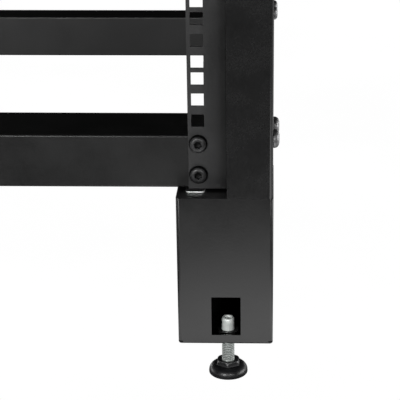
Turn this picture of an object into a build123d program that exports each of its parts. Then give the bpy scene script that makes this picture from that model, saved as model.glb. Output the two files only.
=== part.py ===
from build123d import *
import os

# Open-frame four-post server rack, 12 units high, made of folded sheet and tube.
# +Z up, front towards -Y, origin on the floor under the middle of the rack. Millimetres.

# ---------------------------------------------------------------- driving sizes
units = 12                  # equipment height in rack units
unit = 44.45                # one rack unit
hole_column = 232.55        # square-hole column, from the middle
square = 9.5                # square hole
first_hole = 6.35           # hole offsets inside a unit
second_hole = 22.225
third_hole = 38.1

rail_to_rail = 450.0        # front flange face to rear flange face
setback = 18.0              # flange behind the outer face
depth = rail_to_rail + 2 * setback
y_front = -depth / 2
sheet = 2.0

flange_in = 225.05          # inner edge of the flange
web_x = 254.2               # web between flange and outer face
post_out = 288.35           # outer side of the post
side_wall = 60.0            # depth of the post's side wall
bend_out = 2.5
bend_in = 0.5

leg_in = 216.2
leg_out = 288.75
leg_depth = 80.0
leg_z0 = 33.2
leg_z1 = 152.0
leg_sheet = 2.0
relief_z, relief_h, relief_run = 1.5, 0.9, 3.6
window_x0, window_x1 = 241.8, 264.1
window_z0, window_z1 = 40.6, 72.3

gap = 1.6                   # washer thickness between leg and crossbar
flange_z0 = leg_z1 + gap
end_margin = 46.75          # flange end to the first unit
flange_z1 = flange_z0 + units * unit + 2 * end_margin
post_z1 = flange_z1

bar_height = 41.1
bar_wall = 1.5
bar_half = 254.0
front_bar_depth = 60.0
rear_bar_depth = 36.0
bar_round = 1.6
screw_low, screw_high = 11.3, 35.4   # flange screws above the flange's end

rail_x0 = web_x + sheet
rail_x1 = post_out - sheet
rail_height = 40.0
rail_mid = 42.4             # side rail's middle above the flange's end
side_screw_y = (9.1, 41.2)  # behind the outer face

head_r = 7.0                # M8 button head
head_h = 4.4
shank_r = 4.0
socket_af = 5.0
socket_deep = 2.6
clear_r = 4.5
tap_r = 4.05

washer_w, washer_d = 14.0, 33.0   # plate washer, across and front to back
washer_r = 3.0              # its corners
bolt_x = 230.2
bolt_y = 28.5               # behind the outer face

foot_x = 253.8
foot_y = 18.5               # behind the outer face
stud_r = 4.9
stud_hole_r = 4.95
stud_top = 47.5
base_r = 15.2
boss_af = 17.0
boss_top = 11.2
base_top = 7.6              # dome top round the boss
insert_r = 8.6
insert_top = 37.4

unit_z0 = flange_z0 + end_margin
hole_z = [unit_z0 + unit * u + o for u in range(units) for o in (first_hole, second_hole, third_hole)]
screw_z = [flange_z0 + screw_low, flange_z0 + screw_high, flange_z1 - screw_high, flange_z1 - screw_low]
rail_z = [flange_z0 + rail_mid, flange_z1 - rail_mid]
bar_z = [flange_z0 + bar_height / 2, flange_z1 - bar_height / 2]

finished = []


def keep(label, builder):
    builder.part.label = label
    finished.append(builder.part)


# ---------------------------------------------------------------- posts
# outer channel of a corner: flush face, side wall and cap plate
with BuildPart() as post_front_right:
    with BuildSketch(Plane.XY.offset(leg_z1)):
        with BuildLine():
            Polyline(*[(x, y_front + d) for x, d in (
                (web_x, 0), (post_out, 0), (post_out, side_wall),
                (post_out - sheet, side_wall), (post_out - sheet, sheet), (web_x, sheet),
            )], close=True)
        make_face()
        fillet(vertices().sort_by_distance((post_out, y_front, 0))[0], bend_out)
        fillet(vertices().sort_by_distance((post_out - sheet, y_front + sheet, 0))[0], bend_in)
    extrude(amount=post_z1 - leg_z1)
    with BuildSketch(Plane.XY.offset(post_z1 - sheet)):
        with Locations(((rail_x0 + rail_x1) / 2, y_front + (sheet + side_wall) / 2)):
            Rectangle(rail_x1 - rail_x0, side_wall - sheet)
    extrude(amount=sheet)
    with BuildSketch(Plane.YZ.offset(post_out - sheet)):
        with Locations(*[(y_front + d, z) for d in side_screw_y for z in rail_z]):
            Circle(clear_r)
    extrude(amount=sheet, mode=Mode.SUBTRACT)
keep("post_front_right", post_front_right)

with BuildPart() as post_front_left:
    mirror(post_front_right.part, about=Plane.YZ)
keep("post_front_left", post_front_left)

with BuildPart() as post_rear_right:
    mirror(post_front_right.part, about=Plane.XZ)
keep("post_rear_right", post_rear_right)

with BuildPart() as post_rear_left:
    mirror(post_rear_right.part, about=Plane.YZ)
keep("post_rear_left", post_rear_left)

# ---------------------------------------------------------------- rack rails
# angle of a corner: set-back flange with the square holes, and the web to the post's face
with BuildPart() as rack_rail_front_right:
    with BuildSketch(Plane.XY.offset(flange_z0)):
        with BuildLine():
            Polyline(*[(x, y_front + d) for x, d in (
                (flange_in, setback), (web_x, setback), (web_x, sheet), (web_x + sheet, sheet),
                (web_x + sheet, setback + sheet), (flange_in, setback + sheet),
            )], close=True)
        make_face()
        fillet(vertices().sort_by_distance((web_x + sheet, y_front + setback + sheet, 0))[0], bend_out)
        fillet(vertices().sort_by_distance((web_x, y_front + setback, 0))[0], bend_in)
    extrude(amount=flange_z1 - flange_z0)
    # square holes, three to a unit, and the crossbar screws' holes
    with BuildSketch(Plane.XZ.offset(-(y_front + setback))):
        with Locations(*[(hole_column, z) for z in hole_z]):
            Rectangle(square, square)
        with Locations(*[(hole_column, z) for z in screw_z]):
            Circle(clear_r)
    extrude(amount=-sheet, mode=Mode.SUBTRACT)
keep("rack_rail_front_right", rack_rail_front_right)

with BuildPart() as rack_rail_front_left:
    mirror(rack_rail_front_right.part, about=Plane.YZ)
keep("rack_rail_front_left", rack_rail_front_left)

with BuildPart() as rack_rail_rear_right:
    mirror(rack_rail_front_right.part, about=Plane.XZ)
keep("rack_rail_rear_right", rack_rail_rear_right)

with BuildPart() as rack_rail_rear_left:
    mirror(rack_rail_rear_right.part, about=Plane.YZ)
keep("rack_rail_rear_left", rack_rail_rear_left)

# ---------------------------------------------------------------- legs
leg_mid_x = (leg_in + leg_out) / 2
leg_width = leg_out - leg_in
with BuildPart() as leg_front_right:
    with BuildSketch(Plane.XY.offset(leg_z0)):
        with Locations((leg_mid_x, y_front + leg_depth / 2)):
            RectangleRounded(leg_width, leg_depth, bend_out)
    extrude(amount=leg_z1 - leg_z0)
    fillet(faces().sort_by(Axis.Z)[0].edges(), 1.4)
    with BuildSketch(Plane.XY.offset(leg_z0 + leg_sheet)):
        with Locations((leg_mid_x, y_front + leg_depth / 2)):
            RectangleRounded(leg_width - 2 * leg_sheet, leg_depth - 2 * leg_sheet, 0.6)
    extrude(amount=leg_z1 - leg_z0 - 2 * leg_sheet, mode=Mode.SUBTRACT)
    # window over the levelling screw
    with BuildSketch(Plane.XZ.offset(-y_front)):
        with Locations(((window_x0 + window_x1) / 2, (window_z0 + window_z1) / 2)):
            Rectangle(window_x1 - window_x0, window_z1 - window_z0)
    extrude(amount=-leg_sheet, mode=Mode.SUBTRACT)
    # relief slits where the bottom and the sides are folded
    with BuildSketch(Plane.XY.offset(leg_z0 + relief_z)):
        with Locations(*[(x, y) for x in (leg_in, leg_out) for y in (y_front, y_front + leg_depth)]):
            Rectangle(2 * relief_run, 2 * relief_run)
    extrude(amount=relief_h, mode=Mode.SUBTRACT)
    # levelling screw hole and leg bolt hole
    with BuildSketch(Plane.XY.offset(leg_z0)):
        with Locations((foot_x, y_front + foot_y)):
            Circle(stud_hole_r)
    extrude(amount=leg_sheet, mode=Mode.SUBTRACT)
    with BuildSketch(Plane.XY.offset(leg_z1)):
        with Locations((bolt_x, y_front + bolt_y)):
            Circle(clear_r)
    extrude(amount=-leg_sheet, mode=Mode.SUBTRACT)
keep("leg_front_right", leg_front_right)

with BuildPart() as leg_front_left:
    mirror(leg_front_right.part, about=Plane.YZ)
keep("leg_front_left", leg_front_left)

with BuildPart() as leg_rear_right:
    mirror(leg_front_right.part, about=Plane.XZ)
keep("leg_rear_right", leg_rear_right)

with BuildPart() as leg_rear_left:
    mirror(leg_rear_right.part, about=Plane.YZ)
keep("leg_rear_left", leg_rear_left)

# ---------------------------------------------------------------- levelling feet
# threaded insert on the leg's bottom plate
with BuildPart() as foot_insert:
    with BuildSketch(Plane.XY.offset(leg_z0 + leg_sheet)):
        Circle(insert_r)
        Circle(stud_hole_r, mode=Mode.SUBTRACT)
    extrude(amount=insert_top - leg_z0 - leg_sheet)
    chamfer(edges().filter_by(GeomType.CIRCLE).group_by(Axis.Z)[-1].sort_by(SortBy.RADIUS)[-1], 0.5)

# zinc stud with a hex socket in its top end
with BuildPart() as levelling_screw:
    with BuildSketch(Plane.XY.offset(boss_top - 4.5)):
        Circle(stud_r)
    extrude(amount=stud_top - boss_top + 4.5)
    chamfer(edges().filter_by(GeomType.CIRCLE).sort_by(Axis.Z)[-1], 1.1)
    with BuildSketch(Plane.XY.offset(stud_top)):
        RegularPolygon(radius=2.5, side_count=6, major_radius=False)
    extrude(amount=-5, mode=Mode.SUBTRACT)

# domed base with a hexagonal boss
with BuildPart() as foot_base:
    with BuildSketch(Plane.XZ):
        with BuildLine():
            Polyline((0, base_top), (0, 0), (base_r - 0.6, 0), (base_r, 0.6), (base_r, 2.2))
            ThreePointArc((base_r, 2.2), (13.45, 5.9), (9.6, base_top))
            Line((9.6, base_top), (0, base_top))
        make_face()
    revolve(axis=Axis.Z)
    with BuildSketch(Plane.XY.offset(4.0)):
        RegularPolygon(radius=boss_af / 2, side_count=6, major_radius=False, rotation=30)
    extrude(amount=boss_top - 4.0)
    chamfer(faces().sort_by(Axis.Z)[-1].edges(), 0.5)
    with BuildSketch(Plane.XY.offset(boss_top)):
        Circle(stud_r)
    extrude(amount=-4.5, mode=Mode.SUBTRACT)

corners = {
    "front_right": (foot_x, y_front + foot_y),
    "front_left": (-foot_x, y_front + foot_y),
    "rear_right": (foot_x, -(y_front + foot_y)),
    "rear_left": (-foot_x, -(y_front + foot_y)),
}
for corner, (fx, fy) in corners.items():
    with BuildPart() as insert_here:
        with Locations((fx, fy, 0)):
            add(foot_insert.part)
    keep("foot_insert_" + corner, insert_here)
    with BuildPart() as screw_here:
        with Locations((fx, fy, 0)):
            add(levelling_screw.part)
    keep("levelling_screw_" + corner, screw_here)
    with BuildPart() as base_here:
        with Locations((fx, fy, 0)):
            add(foot_base.part)
    keep("foot_base_" + corner, base_here)

# ---------------------------------------------------------------- crossbars
bars = {
    "crossbar_front_bottom": (-1, front_bar_depth, bar_z[0]),
    "crossbar_front_top": (-1, front_bar_depth, bar_z[1]),
    "crossbar_rear_bottom": (1, rear_bar_depth, bar_z[0]),
    "crossbar_rear_top": (1, rear_bar_depth, bar_z[1]),
}
for name, (side, deep, mid) in bars.items():
    face_y = side * (depth / 2 - setback - sheet)      # face against the flanges
    mid_y = face_y - side * deep / 2
    with BuildPart() as crossbar:
        with BuildSketch(Plane.YZ.offset(-bar_half)):
            with Locations((mid_y, mid)):
                RectangleRounded(deep, bar_height, bar_round)
                RectangleRounded(deep - 2 * bar_wall, bar_height - 2 * bar_wall, 0.4, mode=Mode.SUBTRACT)
        extrude(amount=2 * bar_half)
        near = [z for z in screw_z if abs(z - mid) < bar_height / 2]
        with BuildSketch(Plane.XZ.offset(-face_y)):
            with Locations(*[(sx * hole_column, z) for sx in (-1, 1) for z in near]):
                Circle(tap_r)
        extrude(amount=side * bar_wall, mode=Mode.SUBTRACT)
        if mid < post_z1 / 2:
            with BuildSketch(Plane.XY.offset(mid - bar_height / 2)):
                with Locations(*[(sx * bolt_x, side * (depth / 2 - bolt_y)) for sx in (-1, 1)]):
                    Circle(tap_r)
            extrude(amount=bar_wall, mode=Mode.SUBTRACT)
    keep(name, crossbar)

# ---------------------------------------------------------------- side rails
for height, mid in zip(("bottom", "top"), rail_z):
    for hand, sx in (("right", 1), ("left", -1)):
        with BuildPart() as side_rail:
            with BuildSketch(Plane.XZ.offset(-(y_front + sheet + 0.5))):
                with Locations((sx * (rail_x0 + rail_x1) / 2, mid)):
                    RectangleRounded(rail_x1 - rail_x0, rail_height, bar_round)
                    RectangleRounded(rail_x1 - rail_x0 - 3, rail_height - 3, 0.4, mode=Mode.SUBTRACT)
            extrude(amount=-(depth - 2 * sheet - 1.0))
            with BuildSketch(Plane.YZ.offset(sx * rail_x1)):
                with Locations(*[(sy * (depth / 2 - d), mid) for sy in (-1, 1) for d in side_screw_y]):
                    Circle(tap_r)
            extrude(amount=-sx * bar_wall, mode=Mode.SUBTRACT)
        keep("side_rail_" + height + "_" + hand, side_rail)

# ---------------------------------------------------------------- screws
# button-head screw, seat at z = 0, head up
with BuildPart() as button_screw:
    with BuildSketch(Plane.XZ):
        with BuildLine():
            Polyline((0, head_h), (0, 0), (head_r - 0.3, 0), (head_r, 0.35))
            ThreePointArc((head_r, 0.35), (5.9, 3.0), (3.4, head_h))
            Line((3.4, head_h), (0, head_h))
        make_face()
    revolve(axis=Axis.Z)
    with BuildSketch(Plane.XY):
        Circle(shank_r)
    extrude(amount=-10)
    with BuildSketch(Plane.XY.offset(head_h)):
        RegularPolygon(radius=socket_af / 2, side_count=6, major_radius=False)
    extrude(amount=-socket_deep, mode=Mode.SUBTRACT)

for end, sy in (("front", -1), ("rear", 1)):
    for hand, sx in (("left", -1), ("right", 1)):
        with BuildPart() as flange_screws:
            seat_y = sy * (depth / 2 - setback)
            with Locations(*[Plane(origin=(sx * hole_column, seat_y, z), x_dir=(1, 0, 0), z_dir=(0, sy, 0)).location for z in screw_z]):
                add(button_screw.part)
        keep("flange_screws_" + end + "_" + hand, flange_screws)
        with BuildPart() as side_screws:
            seats = [(sx * post_out, sy * (depth / 2 - d), z) for d in side_screw_y for z in rail_z]
            with Locations(*[Plane(origin=seat, x_dir=(0, 1, 0), z_dir=(sx, 0, 0)).location for seat in seats]):
                add(button_screw.part)
        keep("side_screws_" + end + "_" + hand, side_screws)

# ---------------------------------------------------------------- plate washers and leg bolts
bolt_at = [(sx * bolt_x, sy * (depth / 2 - bolt_y)) for sx in (-1, 1) for sy in (-1, 1)]
with BuildPart() as leg_washers:
    with BuildSketch(Plane.XY.offset(leg_z1)):
        with Locations(*bolt_at):
            RectangleRounded(washer_w, washer_d, washer_r)
            Circle(4.3, mode=Mode.SUBTRACT)
    extrude(amount=gap)
keep("leg_washers", leg_washers)

with BuildPart() as leg_bolts:
    with BuildSketch(Plane.XY.offset(leg_z1 - leg_sheet)):
        with Locations(*bolt_at):
            RegularPolygon(radius=6.5, side_count=6, major_radius=False)
    extrude(amount=-5.3)
    with BuildSketch(Plane.XY.offset(leg_z1 - leg_sheet)):
        with Locations(*bolt_at):
            Circle(shank_r)
    extrude(amount=leg_sheet + gap + bar_wall + 4.0)
keep("leg_bolts", leg_bolts)

# ---------------------------------------------------------------- write the pieces
os.makedirs("parts", exist_ok=True)
for piece in finished:
    export_step(piece, "parts/" + piece.label + ".step")
print(len(finished), "pieces")
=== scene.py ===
import math

import bmesh
import bpy
from mathutils import Matrix, Vector


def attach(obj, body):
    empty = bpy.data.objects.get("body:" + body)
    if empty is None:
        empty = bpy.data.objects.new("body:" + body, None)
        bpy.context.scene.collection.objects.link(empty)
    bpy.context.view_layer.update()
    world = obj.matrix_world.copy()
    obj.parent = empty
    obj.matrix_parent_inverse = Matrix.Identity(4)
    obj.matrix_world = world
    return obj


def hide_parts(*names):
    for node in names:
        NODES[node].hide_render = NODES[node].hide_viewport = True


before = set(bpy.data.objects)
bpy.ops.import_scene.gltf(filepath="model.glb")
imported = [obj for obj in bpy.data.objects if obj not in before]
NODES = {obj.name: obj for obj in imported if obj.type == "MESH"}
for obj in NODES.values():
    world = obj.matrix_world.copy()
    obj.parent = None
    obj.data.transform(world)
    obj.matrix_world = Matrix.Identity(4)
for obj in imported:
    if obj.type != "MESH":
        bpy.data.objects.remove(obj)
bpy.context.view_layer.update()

MM = 0.001
CORNERS = {"front_right": (1, -1), "front_left": (-1, -1), "rear_right": (1, 1), "rear_left": (-1, 1)}


# ------------------------------------------------------------------ node helpers
class Mat:
    """A small builder for one node material."""

    def __init__(self, name):
        self.m = bpy.data.materials.new(name)
        self.m.use_nodes = True
        self.nt = self.m.node_tree
        self.nt.nodes.clear()
        self.out = self.nt.nodes.new("ShaderNodeOutputMaterial")
        self.bsdf = self.nt.nodes.new("ShaderNodeBsdfPrincipled")
        self.link(self.bsdf.outputs[0], self.out.inputs["Surface"])
        self.coord = self.nt.nodes.new("ShaderNodeTexCoord").outputs["Object"]

    def link(self, a, b):
        self.nt.links.new(a, b)

    def put(self, socket, value):
        if isinstance(value, bpy.types.NodeSocket):
            self.link(value, socket)
        else:
            socket.default_value = value

    def set(self, **kw):
        for k, v in kw.items():
            self.put(self.bsdf.inputs[k.replace("_", " ")], v)

    def stretch(self, scale, offset=(0, 0, 0)):
        n = self.nt.nodes.new("ShaderNodeMapping")
        n.inputs["Scale"].default_value = scale
        n.inputs["Location"].default_value = offset
        self.link(self.coord, n.inputs["Vector"])
        return n.outputs[0]

    def noise(self, scale, detail=3.0, rough=0.5, vector=None, distortion=0.0):
        n = self.nt.nodes.new("ShaderNodeTexNoise")
        n.inputs["Scale"].default_value = scale
        n.inputs["Detail"].default_value = detail
        n.inputs["Roughness"].default_value = rough
        n.inputs["Distortion"].default_value = distortion
        self.link(vector or self.coord, n.inputs["Vector"])
        return n.outputs["Fac"]

    def cells(self, scale, vector=None, out="Distance"):
        n = self.nt.nodes.new("ShaderNodeTexVoronoi")
        n.inputs["Scale"].default_value = scale
        self.link(vector or self.coord, n.inputs["Vector"])
        return n.outputs[out]

    def remap(self, value, lo, hi, out_lo=0.0, out_hi=1.0):
        n = self.nt.nodes.new("ShaderNodeMapRange")
        n.inputs["From Min"].default_value = lo
        n.inputs["From Max"].default_value = hi
        n.inputs["To Min"].default_value = out_lo
        n.inputs["To Max"].default_value = out_hi
        self.link(value, n.inputs["Value"])
        return n.outputs["Result"]

    def math(self, op, a, b=0.0):
        n = self.nt.nodes.new("ShaderNodeMath")
        n.operation = op
        self.put(n.inputs[0], a)
        self.put(n.inputs[1], b)
        return n.outputs[0]

    def mix(self, fac, a, b, blend="MIX"):
        n = self.nt.nodes.new("ShaderNodeMix")
        n.data_type = "RGBA"
        n.blend_type = blend
        self.put(n.inputs["Factor"], fac)
        self.put(n.inputs[6], a)
        self.put(n.inputs[7], b)
        return n.outputs[2]

    def bump(self, height, distance, strength=1.0, normal=None):
        n = self.nt.nodes.new("ShaderNodeBump")
        n.inputs["Strength"].default_value = strength
        n.inputs["Distance"].default_value = distance
        self.link(height, n.inputs["Height"])
        if normal is not None:
            self.link(normal, n.inputs["Normal"])
        return n.outputs[0]


def grey(v, tint=(1.0, 1.0, 1.0)):
    return (v * tint[0], v * tint[1], v * tint[2], 1.0)


def powder_coat(name, tone, rough, painted_corner_shade=False):
    """Fine-grained black powder coat: a faint cloudy tone, flow marks, and an orange-peel skin.
    In the inner corner beside the web it paints shade: the coat darkens towards the web, a painted shadow line runs
    along it, and the roughness is lower there."""
    m = Mat(name)
    cloud = m.noise(38.0, 4.0, 0.55)
    fine = m.noise(900.0, 2.0, 0.5)
    tone_a = m.mix(m.remap(cloud, 0.3, 0.7), grey(tone * 0.88, (1, 1, 1.01)), grey(tone * 1.12, (1, 1, 1.02)))
    tone_b = m.mix(m.remap(fine, 0.35, 0.75, 0.0, 0.5), tone_a, grey(tone * 1.5))
    specks = m.remap(m.cells(420.0), 0.0, 0.10, 1.0, 0.0)
    colour = m.mix(m.math("MULTIPLY", specks, 0.35), tone_b, grey(tone * 2.6))
    r = m.math("ADD", m.remap(cloud, 0.3, 0.7, rough - 0.03, rough + 0.03), m.remap(fine, 0.3, 0.7, -0.03, 0.03))
    if painted_corner_shade:
        sep = m.nt.nodes.new("ShaderNodeSeparateXYZ")
        m.link(m.coord, sep.inputs[0])
        # painted shade: the coat darkens and smooths towards the web
        corner_shade = m.remap(m.math("ABSOLUTE", sep.outputs["X"]), 0.233, 0.2545)
        colour = m.mix(corner_shade, colour, m.mix(0.62, colour, grey(0.0)))
        r = m.math("SUBTRACT", r, m.math("MULTIPLY", corner_shade, 0.09))
        # painted shadow: a near-black line along the web
        crease_shadow = m.remap(m.math("ABSOLUTE", sep.outputs["X"]), 0.2526, 0.2538)
        colour = m.mix(crease_shadow, colour, grey(0.0005))
    m.set(Base_Color=colour)
    m.set(Roughness=r)
    peel = m.noise(620.0, 2.0, 0.45)
    grain = m.noise(2600.0, 2.0, 0.6)
    m.set(Normal=m.bump(grain, 0.000012, 0.5, m.bump(peel, 0.00006, 0.55)))
    m.bsdf.inputs["Specular IOR Level"].default_value = 0.5
    return m.m


def zinc(name, bright=0.72, axes=None):
    """Zinc plate with a milky passivated skin: cool, faintly green, with soft handling marks.
    With axes (x, y of the four studs, mirrored) it paints shade into the roots of the lower thread and onto the exposed
    thread below the leg."""
    m = Mat(name)
    cloud = m.noise(260.0, 4.0, 0.6, distortion=0.6)
    drift = m.noise(70.0, 3.0, 0.5)
    a = m.mix(m.remap(cloud, 0.3, 0.7), grey(bright * 0.86, (0.93, 1.0, 0.96)), grey(bright, (0.99, 1.0, 0.98)))
    b = m.mix(m.remap(drift, 0.45, 0.8, 0.0, 0.35), a, grey(bright * 0.88, (0.84, 1.0, 0.95)))
    if axes:
        sep = m.nt.nodes.new("ShaderNodeSeparateXYZ")
        m.link(m.coord, sep.inputs[0])
        dx = m.math("SUBTRACT", m.math("ABSOLUTE", sep.outputs["X"]), axes[0])
        dy = m.math("SUBTRACT", m.math("ABSOLUTE", sep.outputs["Y"]), axes[1])
        r = m.math("SQRT", m.math("ADD", m.math("MULTIPLY", dx, dx), m.math("MULTIPLY", dy, dy)))
        # painted shade in the roots of the lower thread
        root_shade = m.math("MULTIPLY", m.remap(r, 0.00485, 0.00442), m.remap(sep.outputs["Z"], 0.0372, 0.0358))
        b = m.mix(root_shade, b, grey(0.10, (0.97, 1.0, 0.96)))
        # painted shade on the exposed thread below the leg, tinted a little green
        under_leg_shade = m.remap(sep.outputs["Z"], 0.0345, 0.0320, 0.0, 0.62)
        b = m.mix(under_leg_shade, b, grey(0.10, (0.9, 1.0, 0.95)))
    m.set(Base_Color=b, Roughness=m.remap(cloud, 0.25, 0.75, 0.34, 0.5))
    m.bsdf.inputs["Metallic"].default_value = 0.3
    m.set(Normal=m.bump(m.noise(1800.0, 3.0, 0.6), 0.00002, 0.4))
    return m.m


def black_oxide(name, tone=1.0, gloss=0.6):
    """Blackened screw steel: oily dark grey, worn a little lighter in places."""
    m = Mat(name)
    cloud = m.noise(420.0, 4.0, 0.6)
    c = m.mix(m.remap(cloud, 0.35, 0.75), grey(0.016 * tone), grey(0.04 * tone, (1, 1, 1.04)))
    m.set(Base_Color=c, Roughness=m.remap(cloud, 0.3, 0.7, 0.36, 0.5))
    m.bsdf.inputs["Metallic"].default_value = 0.25
    m.bsdf.inputs["Specular IOR Level"].default_value = gloss
    m.set(Normal=m.bump(m.noise(2200.0, 2.0, 0.55), 0.000015, 0.5))
    return m.m


def steel_screw(name, bright=0.36, rough=0.34):
    """Nickel-like steel: mid-grey metal with a satin skin."""
    m = Mat(name)
    cloud = m.noise(420.0, 4.0, 0.6)
    c = m.mix(m.remap(cloud, 0.35, 0.75), grey(bright * 0.84), grey(bright * 1.16, (1, 1, 1.02)))
    m.set(Base_Color=c, Roughness=m.remap(cloud, 0.3, 0.7, rough - 0.06, rough + 0.06))
    m.bsdf.inputs["Metallic"].default_value = 1.0
    m.set(Normal=m.bump(m.noise(2200.0, 2.0, 0.55), 0.000015, 0.5))
    return m.m


def gloss_black(name, rough=0.14):
    """Glossy moulded black plastic with faint flow and fine dust-like unevenness."""
    m = Mat(name)
    flow = m.noise(90.0, 3.0, 0.5, distortion=0.4)
    fine = m.noise(1500.0, 2.0, 0.5)
    m.set(Base_Color=m.mix(m.remap(flow, 0.3, 0.7), grey(0.004, (1, 1, 1.1)), grey(0.009, (1, 1, 1.15))))
    m.set(Roughness=m.math("ADD", m.remap(flow, 0.3, 0.7, rough - 0.035, rough + 0.035), m.remap(fine, 0.3, 0.7, -0.02, 0.03)))
    m.set(Normal=m.bump(flow, 0.00025, 0.12, m.bump(fine, 0.00001, 0.4)))
    m.bsdf.inputs["Specular IOR Level"].default_value = 0.55
    return m.m


# The rail is given a lighter tone than the post (0.025 against 0.011), though both are the same black powder coat:
# painted shade on the post face.
M_POST = powder_coat("powder_coat_post", 0.011, 0.25)
M_RAIL = powder_coat("powder_coat_rail", 0.025, 0.40, painted_corner_shade=True)
M_BAR = powder_coat("powder_coat_bar", 0.004, 0.40)
M_LEG = powder_coat("powder_coat_leg", 0.0025, 0.345)
M_SIDE = powder_coat("powder_coat_side_rail", 0.004, 0.80)
M_ZINC = zinc("zinc_plate")
M_STUD = zinc("zinc_stud", 1.0, (0.2538, 0.2245))
M_WASHER = zinc("washer_zinc", 0.97)
M_OXIDE = black_oxide("black_oxide")
# painted shade: a much darker copy of the black oxide for the flange screws' rims and sockets
M_OXIDE_SHADE = black_oxide("black_oxide_painted_shade", 0.12, 0.1)
M_STEEL = steel_screw("satin_screw_steel", 0.30, 0.46)
# painted shade: a darker copy of the screw steel for the side screws' rims and sockets
M_STEEL_SHADE = steel_screw("satin_screw_steel_painted_shade", 0.17, 0.50)
M_FOOT = gloss_black("gloss_black_plastic", 0.37)
# painted highlight for the chamfer along the boss's top edge
M_BOSS_HIGHLIGHT = powder_coat("painted_highlight_boss_edge", 0.16, 0.40)
M_DARK = black_oxide("dark_coated_steel")


# ------------------------------------------------------------------ mesh helpers
def finish_mesh(bm, name, material, angle=32.0):
    bmesh.ops.recalc_face_normals(bm, faces=bm.faces)
    limit = math.radians(angle)
    for f in bm.faces:
        f.smooth = True
    for e in bm.edges:
        e.smooth = not (len(e.link_faces) == 2 and e.calc_face_angle(0.0) > limit)
    me = bpy.data.meshes.new(name)
    bm.to_mesh(me)
    bm.free()
    me.materials.append(material)
    ob = bpy.data.objects.new(name, me)
    bpy.context.scene.collection.objects.link(ob)
    return ob


def hexagon(theta, apothem, turn=0.0):
    """Radius of a hexagon's outline at angle theta; turn is the angle of one flat's middle."""
    a = (theta - turn + math.pi / 6) % (math.pi / 3) - math.pi / 6
    return apothem / math.cos(a)


def lathe(bm, rings, segments=72, matrix=None, marks=()):
    """rings: (z, radius or function of theta) in mm, from one pole to the other. Closed at both ends by a middle point.
    marks: (first ring, last ring, material index) for bands with a material of their own."""
    matrix = matrix or Matrix.Identity(4)
    grid = []
    for z, r in rings:
        row = []
        for j in range(segments):
            t = 2 * math.pi * j / segments
            rad = r(t) if callable(r) else r
            zz = z(t) if callable(z) else z
            row.append(bm.verts.new(matrix @ Vector((rad * math.cos(t) * MM, rad * math.sin(t) * MM, zz * MM))))
        grid.append(row)
    def band(i):
        return next((m for first, last, m in marks if first <= i < last), 0)

    for i, (a, b) in enumerate(zip(grid, grid[1:])):
        for j in range(segments):
            k = (j + 1) % segments
            bm.faces.new((a[j], a[k], b[k], b[j])).material_index = band(i)
    for i, row in ((0, grid[0]), (len(grid) - 1, grid[-1])):
        mid = bm.verts.new(sum((v.co for v in row), Vector()) / segments)
        for j in range(segments):
            bm.faces.new((row[j], row[(j + 1) % segments], mid)).material_index = band(i)
    return grid


def arc(z0, r0, z1, r1, bulge, steps):
    """Points from (z0, r0) to (z1, r1), pushed outward by bulge in the middle."""
    dz, dr = z1 - z0, r1 - r0
    length = math.hypot(dz, dr)
    nz, nr = -dr / length, dz / length
    pts = []
    for i in range(1, steps):
        t = i / steps
        b = bulge * 4 * t * (1 - t)
        pts.append((z0 + dz * t + nz * b, r0 + dr * t + nr * b))
    return pts


# ------------------------------------------------------------------ button-head screws
SOCKET_TURN = math.radians(30)


def button_screw(bm, matrix, turn):
    hexa = lambda a: (lambda t: hexagon(t, a, turn))
    head = [(0.0, 4.0), (0.0, 6.55), (0.1, 6.82), (0.35, 6.97), (0.62, 6.98)]
    dome = []
    for i in range(1, 11):
        t = i / 10
        ang = math.radians(8 + 62 * t)
        dome.append((0.62 + 3.62 * math.sin(ang * 90 / 70) / math.sin(math.radians(90)), 3.55 + 3.43 * math.cos(ang * 90 / 70)))
    dome = [(min(z, 4.28), r) for z, r in dome]
    rings = [(-9.6, 3.2), (-9.6, 3.3), (-9.0, 3.95), (-0.5, 3.95), (-0.1, 4.0)] + head + dome
    rings += [(4.4, 3.5), (4.4, 3.12), (4.28, 2.98)]
    rings += [(4.05, hexa(2.52)), (3.9, hexa(2.5)), (1.95, hexa(2.5)), (1.8, hexa(2.42)), (1.05, 0.35)]
    # rings 6 to 12 (the head's rim and outer dome) and the socket take material 1, the darker copy: a painted shadow
    # ring round the head and painted shade in the socket
    lathe(bm, rings, 72, matrix, ((6, 13, 1), (len(rings) - 5, len(rings), 1)))


def screw_set(node, material, edge, seats):
    """seats: (place, outward direction, socket turn)."""
    bm = bmesh.new()
    for place, out, turn in seats:
        z = Vector(out).normalized()
        x = Vector((0, 0, 1)).cross(z).normalized()
        y = z.cross(x)
        m = Matrix((x, y, z)).transposed().to_4x4()
        m.translation = Vector(place) * MM
        button_screw(bm, m, turn)
    ob = finish_mesh(bm, node + "_detail", material)
    # second slot, the darker copy: painted shade on the head's rim and in its socket
    ob.data.materials.append(edge)
    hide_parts(node)
    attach(ob, "frame")
    return ob


HALF_D = 243.0
FLANGE_Y = 225.0
POST_X = 288.35
HOLE_X = 232.55
FLANGE_Z0, FLANGE_Z1 = 153.6, 780.5
SCREW_Z = (FLANGE_Z0 + 11.3, FLANGE_Z0 + 35.4, FLANGE_Z1 - 35.4, FLANGE_Z1 - 11.3)
RAIL_Z = (FLANGE_Z0 + 42.4, FLANGE_Z1 - 42.4)
SIDE_Y = (9.1, 41.2)

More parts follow.
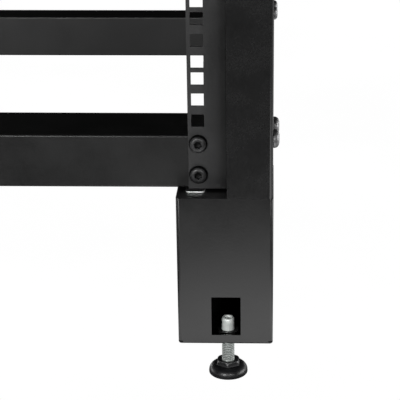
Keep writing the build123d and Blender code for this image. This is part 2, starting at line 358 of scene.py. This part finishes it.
for c, (sx, sy) in CORNERS.items():
    seats = [((sx * HOLE_X, sy * FLANGE_Y, z), (0, sy, 0), math.radians(17 * i + 7)) for i, z in enumerate(SCREW_Z)]
    screw_set("flange_screws_" + c, M_OXIDE, M_OXIDE_SHADE, seats)
    seats = [((sx * POST_X, sy * (HALF_D - d), z), (sx, 0, 0), math.radians(23 * i + 11 * k))
             for k, d in enumerate(SIDE_Y) for i, z in enumerate(RAIL_Z)]
    screw_set("side_screws_" + c, M_STEEL, M_STEEL_SHADE, seats)


# ------------------------------------------------------------------ levelling feet
FOOT_X, FOOT_Y = 253.8, 224.5
STUD_R, STUD_TOP, BOSS_TOP, BASE_TOP = 4.9, 47.5, 11.2, 7.6


def stud_mesh(bm, matrix):
    pitch, depth, seg = 1.5, 0.5, 60
    z0, z1 = 7.4, STUD_TOP

    def radius(z):
        fade = min(1.0, max(0.0, (z - 11.4) / 1.2)) * min(1.0, max(0.0, (37.0 - z) / 1.5))
        cap = STUD_R
        if z > z1 - 1.6:
            t = (z - (z1 - 1.6)) / 1.6
            cap = STUD_R - 1.25 * (1 - math.sqrt(max(0.0, 1 - t * t * 0.96)))

        def f(theta):
            ph = (z / pitch - theta / (2 * math.pi)) % 1.0
            v = abs(ph - 0.5) * 2
            crest = min(1.0, max(0.0, (v - 0.12) / 0.72))
            return cap - depth * fade * (1 - crest)
        return f

    n = int((z1 - z0) / (pitch / 8))
    rings = [(z0, 4.2)]
    for i in range(n + 1):
        z = z0 + (z1 - z0) * i / n
        rings.append((z, radius(z)))
    hexa = lambda a: (lambda t: hexagon(t, a, math.radians(8)))
    rings += [(z1 + 0.0, 3.45), (z1 - 0.15, 3.05), (z1 - 0.5, hexa(2.55)), (z1 - 0.8, hexa(2.5)), (z1 - 4.6, hexa(2.5)), (z1 - 5.2, 0.3)]
    lathe(bm, rings, seg, matrix)


def base_mesh(bm, matrix):
    hexa = lambda a: (lambda t: hexagon(t, a, 0.0))
    rim, top = 2.2, BASE_TOP
    rings = [(0.0, 11.0), (0.0, 14.5), (0.12, 14.85), (0.45, 15.12), (0.8, 15.2), (1.5, 15.2), (rim, 15.14)]
    for k in range(1, 17):
        # the dome, an elliptic shoulder from the rim to the foot of the boss
        t = math.radians(90 * k / 16)
        rings.append((rim + (top - rim) * math.sin(t), 9.6 + 5.54 * math.cos(t)))
    a0 = 8.5

    def wall(t):
        return hexagon(t, a0, 0.0)

    def flare(extra):
        return lambda t: min(wall(t) + extra, 9.6)
    rings += [(top, flare(0.5)), (top + 0.06, flare(0.25)), (top + 0.22, flare(0.08)), (top + 0.45, flare(0.0)), (BOSS_TOP - 1.5, flare(0.0))]

    # the corners fall away under a shallow cone, as on a turned hexagon
    for k in range(1, 6):
        z = BOSS_TOP - 1.5 + 1.2 * k / 5
        cone = 9.6 - (z - BOSS_TOP + 1.5) * 0.55
        rings.append((z, lambda t, c=cone: min(wall(t), c)))
    rings += [(BOSS_TOP - 0.12, lambda t: min(wall(t) - 0.12, 8.86)), (BOSS_TOP, lambda t: min(wall(t) - 0.42, 8.55))]
    rings += [(BOSS_TOP, 7.2), (BOSS_TOP, 5.7), (BOSS_TOP - 0.12, 5.2), (BOSS_TOP - 0.4, 4.98), (BOSS_TOP - 2.2, 4.95)]
    # painted highlight: the boss's top edge chamfer takes a lighter material
    lathe(bm, rings, 144, matrix, ((len(rings) - 7, len(rings) - 6, 1),))


for c, (sx, sy) in CORNERS.items():
    at = Matrix.Translation(Vector((sx * FOOT_X, sy * FOOT_Y, 0)) * MM)
    spin = at @ Matrix.Rotation(math.radians({"front_right": 0, "front_left": 24, "rear_right": 70, "rear_left": 101}[c]), 4, "Z")
    bm = bmesh.new()
    stud_mesh(bm, spin)
    stud = finish_mesh(bm, "levelling_stud_" + c, M_STUD, 40)
    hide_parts("levelling_screw_" + c)
    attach(stud, "foot_" + c)
    bm = bmesh.new()
    base_mesh(bm, at)
    base = finish_mesh(bm, "levelling_base_" + c, M_FOOT, 28)
    base.data.materials.append(M_BOSS_HIGHLIGHT)
    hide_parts("foot_base_" + c)
    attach(base, "foot_" + c)

# ------------------------------------------------------------------ plate washers under the crossbars
WASH_X, WASH_Y, WASH_W, WASH_D, WASH_R = 230.2, HALF_D - 28.5, 7.0, 16.5, 3.0


def slip_outline(inset):
    """Rounded rectangle, counter-clockwise, drawn in by inset."""
    pts = []
    r = WASH_R - inset
    for cx, cy, start in ((1, 1, 0), (-1, 1, 90), (-1, -1, 180), (1, -1, 270)):
        for k in range(9):
            t = math.radians(start + 90 * k / 8)
            pts.append((cx * (WASH_W - WASH_R) + r * math.cos(t), cy * (WASH_D - WASH_R) + r * math.sin(t)))
    return pts


bm = bmesh.new()
for sx in (-1, 1):
    for sy in (-1, 1):
        at = Matrix.Translation(Vector((sx * WASH_X, sy * WASH_Y, 152.0)) * MM)
        rows = []
        # outside from the bottom up with softly rolled edges, then down the hole
        for z, inset in ((0.0, 0.28), (0.08, 0.1), (0.26, 0.0), (1.34, 0.0), (1.52, 0.1), (1.6, 0.28)):
            rows.append([bm.verts.new(at @ Vector((x * MM, y * MM, z * MM))) for x, y in slip_outline(inset)])
        count = len(rows[0])
        angles = [math.atan2(y, x) for x, y in slip_outline(0.0)]
        for z, r in ((1.6, 4.6), (1.5, 4.4), (0.1, 4.4), (0.0, 4.6)):
            rows.append([bm.verts.new(at @ Vector((r * math.cos(t) * MM, r * math.sin(t) * MM, z * MM))) for t in angles])
        for i, (a, b) in enumerate(zip(rows, rows[1:] + rows[:1])):
            for j in range(count):
                k = (j + 1) % count
                # zinc only on the straight side band; the rolled edges, top, bottom and hole take the bar's black coat,
                # painted shade for the dark top face
                bm.faces.new((a[j], a[k], b[k], b[j])).material_index = 0 if i == 2 else 1
washers = finish_mesh(bm, "leg_washer_set", M_WASHER)
# the bar's black coat on the washers: painted shade
washers.data.materials.append(M_BAR)
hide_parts("leg_washers")
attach(washers, "frame")


# ------------------------------------------------------------------ carried-over CAD pieces
def dress(node, material, bevel=0.2):
    ob = NODES[node]
    for s in ob.material_slots:
        s.material = material
    weld = ob.modifiers.new("weld", "WELD")
    weld.merge_threshold = 0.000002
    if bevel:
        b = ob.modifiers.new("edge", "BEVEL")
        b.width = bevel * MM
        b.segments = 2
        b.limit_method = "ANGLE"
        b.angle_limit = math.radians(50)
        b.use_clamp_overlap = True
        b.harden_normals = True


for c in CORNERS:
    dress("post_" + c, M_POST, 0.12)
    dress("rack_rail_" + c, M_RAIL, 0.1)
    dress("leg_" + c, M_LEG)
    dress("foot_insert_" + c, M_DARK, 0)
for e in ("front", "rear"):
    for h in ("bottom", "top"):
        dress("crossbar_%s_%s" % (e, h), M_BAR, 0)
for h in ("bottom", "top"):
    for s in ("left", "right"):
        dress("side_rail_%s_%s" % (h, s), M_SIDE, 0)
dress("leg_bolts", M_ZINC, 0)


# ------------------------------------------------------------------ studio
def stage_material(name, seen, lit):
    """A pale floor: seen plain by the camera, and a softer pool of light for what it lights."""
    m = bpy.data.materials.new(name)
    m.use_nodes = True
    nt = m.node_tree
    nt.nodes.clear()
    out = nt.nodes.new("ShaderNodeOutputMaterial")
    coord = nt.nodes.new("ShaderNodeTexCoord")
    grain = nt.nodes.new("ShaderNodeTexNoise")
    grain.inputs["Scale"].default_value = 3.0
    grain.inputs["Detail"].default_value = 4.0
    nt.links.new(coord.outputs["Object"], grain.inputs["Vector"])
    tone = nt.nodes.new("ShaderNodeMapRange")
    tone.inputs["From Min"].default_value = 0.3
    tone.inputs["From Max"].default_value = 0.7
    tone.inputs["To Min"].default_value = seen - 0.01
    tone.inputs["To Max"].default_value = seen + 0.01
    nt.links.new(grain.outputs["Fac"], tone.inputs["Value"])
    white = nt.nodes.new("ShaderNodeEmission")
    white.inputs["Color"].default_value = (1, 1, 1, 1)
    nt.links.new(tone.outputs["Result"], white.inputs["Strength"])
    # the pools: bright round each foot, fading outwards
    sep = nt.nodes.new("ShaderNodeSeparateXYZ")
    nt.links.new(coord.outputs["Object"], sep.inputs[0])

    def calc(op, first, second=0.0):
        n = nt.nodes.new("ShaderNodeMath")
        n.operation = op
        for socket, v in zip(n.inputs, (first, second)):
            if isinstance(v, bpy.types.NodeSocket):
                nt.links.new(v, socket)
            else:
                socket.default_value = v
        return n.outputs[0]

    def disc(cx, cy, r0, r1, inner, outer):
        """Smooth disc round (cx, cy), mirrored to all four corners."""
        dx = calc("SUBTRACT", calc("ABSOLUTE", sep.outputs["X"]), cx)
        dy = calc("SUBTRACT", calc("ABSOLUTE", sep.outputs["Y"]), cy)
        far = calc("SQRT", calc("ADD", calc("MULTIPLY", dx, dx), calc("MULTIPLY", dy, dy)))
        fade = nt.nodes.new("ShaderNodeMapRange")
        fade.interpolation_type = "SMOOTHSTEP"
        for socket, v in zip(("From Min", "From Max", "To Min", "To Max"), (r0, r1, inner, outer)):
            fade.inputs[socket].default_value = v
        nt.links.new(far, fade.inputs["Value"])
        return fade.outputs["Result"]

    total = 0.0
    for values in lit:
        total = calc("ADD", disc(*values), total)
    # dark contact shadow round each foot
    total = calc("MULTIPLY", total, disc(0.2538, 0.2245, 0.03, 0.085, 0.06, 1.0))
    pool = nt.nodes.new("ShaderNodeEmission")
    nt.links.new(total, pool.inputs["Strength"])
    path = nt.nodes.new("ShaderNodeLightPath")
    mix = nt.nodes.new("ShaderNodeMixShader")
    nt.links.new(path.outputs["Is Camera Ray"], mix.inputs[0])
    nt.links.new(pool.outputs[0], mix.inputs[1])
    nt.links.new(white.outputs[0], mix.inputs[2])
    nt.links.new(mix.outputs[0], out.inputs["Surface"])
    return m


bm = bmesh.new()
bmesh.ops.create_grid(bm, x_segments=24, y_segments=24, size=30.0)
floor = finish_mesh(bm, "studio_floor", stage_material("studio_floor_pale", 1.0, ((0.28, 0.355, 0.05, 0.27, 2.15, 0.01), (0.80, 0.12, 0.15, 0.5, 0.8, 0.0))))

world = bpy.data.worlds.new("studio")
bpy.context.scene.world = world
world.use_nodes = True
wt = world.node_tree
wt.nodes.clear()
wout = wt.nodes.new("ShaderNodeOutputWorld")
seen = wt.nodes.new("ShaderNodeBackground")
seen.inputs["Color"].default_value = (1, 1, 1, 1)
seen.inputs["Strength"].default_value = 1.0
lit = wt.nodes.new("ShaderNodeBackground")
lit.inputs["Color"].default_value = (1, 1, 1, 1)
lit.inputs["Strength"].default_value = 0.004
wmix = wt.nodes.new("ShaderNodeMixShader")
wpath = wt.nodes.new("ShaderNodeLightPath")
wt.links.new(wpath.outputs["Is Camera Ray"], wmix.inputs[0])
wt.links.new(lit.outputs[0], wmix.inputs[1])
wt.links.new(seen.outputs[0], wmix.inputs[2])
wt.links.new(wmix.outputs[0], wout.inputs["Surface"])


def area(name, place, target, size, power, colour=(1, 1, 1)):
    d = bpy.data.lights.new(name, "AREA")
    d.shape = "RECTANGLE"
    d.size, d.size_y = size
    d.energy = power
    d.color = colour
    o = bpy.data.objects.new(name, d)
    bpy.context.scene.collection.objects.link(o)
    o.location = place
    o.rotation_euler = (Vector(target) - Vector(place)).to_track_quat("-Z", "Y").to_euler()
    return o


area("key_front", (-0.75, -2.60, 0.80), (0.2, -0.2, 0.2), (0.4, 0.4), 40)
area("key_right", (0.95, -2.45, 0.80), (0.2, -0.2, 0.2), (0.4, 0.4), 13)
area("side_right", (2.2, -0.15, 0.38), (0.25, -0.15, 0.2), (1.6, 0.8), 22)
area("edge_right", (2.1, 1.9, 0.35), (0.28, -0.2, 0.2), (2.2, 0.6), 8)
area("side_left", (-2.2, 0.5, 0.38), (-0.25, 0.1, 0.2), (1.6, 0.8), 15)
area("rear_soft", (-1.5, 2.3, 0.25), (0.0, 0.2, 0.25), (1.2, 0.5), 8)
area("overhead", (0.0, 0.0, 3.2), (0.0, 0.0, 0.0), (1.6, 1.6), 2)

scene = bpy.context.scene
scene.view_settings.view_transform = "Standard"
scene.view_settings.look = "None"
scene.view_settings.exposure = 0.0
scene.view_settings.gamma = 1.0

# ------------------------------------------------------------------ camera
cam = bpy.data.cameras.new("camera")
cam.sensor_width = 36.0
cam.lens = 1300.2 / 400.0 * 36.0
cam.shift_x = -0.10
cam.shift_y = 0.0
cam.clip_start = 0.05
cam.clip_end = 100.0
cam_ob = bpy.data.objects.new("camera", cam)
scene.collection.objects.link(cam_ob)
cam_ob.location = (0.2865, -1.143, 0.4828)
turn = Matrix.Rotation(math.radians(1.435), 4, "Z") @ Matrix.Rotation(math.radians(90 - 20.22), 4, "X") @ Matrix.Rotation(math.radians(-0.21), 4, "Z")
cam_ob.rotation_euler = turn.to_euler()
scene.camera = cam_ob
